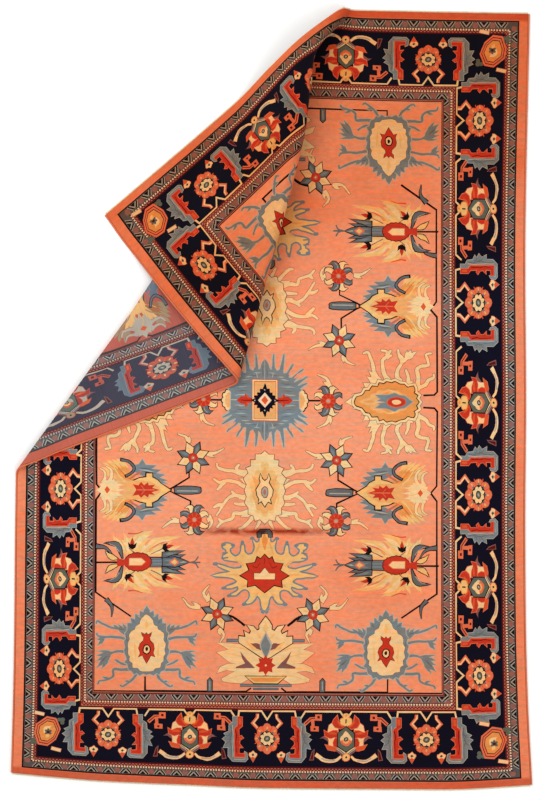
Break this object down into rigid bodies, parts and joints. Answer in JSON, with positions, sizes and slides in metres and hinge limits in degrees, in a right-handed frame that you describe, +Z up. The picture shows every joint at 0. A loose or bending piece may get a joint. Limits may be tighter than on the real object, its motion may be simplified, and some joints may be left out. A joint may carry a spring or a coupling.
{
  "type": "persian rug",
  "caption": "Large hand-knotted pile rug with bordered floral field, lying flat with one corner folded over and back again.",
  "frame": {"origin": "on the floor, in the middle of the rug's box", "axes": "+X across the rug towards the whole side, +Y along it towards the end with the folded corner, +Z up"},
  "size_m": [3.0743, 4.6116, 0.232],
  "materials": {
    "pile": "short matt wool pile, salmon field with navy border and many-coloured motifs, muted on the back",
    "overcast_wool": "matt salmon-red wool wrapped round the side cords",
    "end_cotton": "undyed cream cotton flat weave"
  },
  "bodies": {
    "root": {"rug_body": "pile", "selvedge_left": "overcast_wool", "selvedge_right": "overcast_wool", "end_web_bottom": "end_cotton", "end_web_top": "end_cotton"}
  },
  "joints": []
}
